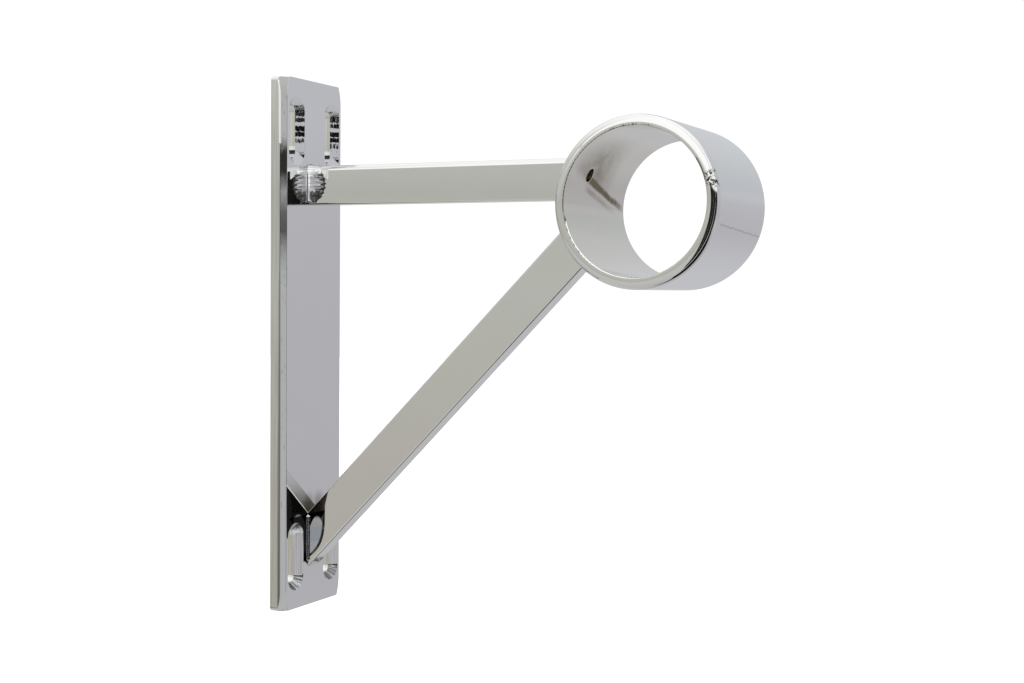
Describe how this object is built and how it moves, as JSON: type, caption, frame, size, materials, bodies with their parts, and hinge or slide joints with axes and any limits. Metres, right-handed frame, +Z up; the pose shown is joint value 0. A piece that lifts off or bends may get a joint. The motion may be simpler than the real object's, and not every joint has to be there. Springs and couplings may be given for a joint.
{
  "type": "curtain pole bracket",
  "caption": "Chromed steel wall bracket for a curtain pole: an upright slotted back plate, a level arm and a slanting brace that carry a closed ring with a grub screw.",
  "frame": {"origin": "middle of the back plate's wall face", "axes": "the wall is the plane Y = 0 and +Y points into it, so the bracket stands out towards -Y; +X is along the pole, to the right for someone facing the wall; +Z is up"},
  "size_m": [0.057, 0.1773, 0.202],
  "materials": {
    "plate_chrome": "polished chrome over ground steel",
    "bar_chrome": "polished chrome",
    "ring_chrome": "polished chrome",
    "weld_chrome": "polished chrome over rippled weld",
    "screw_steel": "blackened steel"
  },
  "bodies": {
    "root": {"back_plate": "plate_chrome", "top_arm": "bar_chrome", "brace": "bar_chrome", "pole_ring": "ring_chrome", "grub_screw": "screw_steel", "arm_plate_weld_left": "weld_chrome", "arm_plate_weld_right": "weld_chrome", "brace_plate_weld_left": "weld_chrome", "brace_plate_weld_right": "weld_chrome", "arm_ring_weld_left": "weld_chrome", "arm_ring_weld_right": "weld_chrome", "brace_ring_weld_left": "weld_chrome", "brace_ring_weld_right": "weld_chrome"}
  },
  "joints": []
}
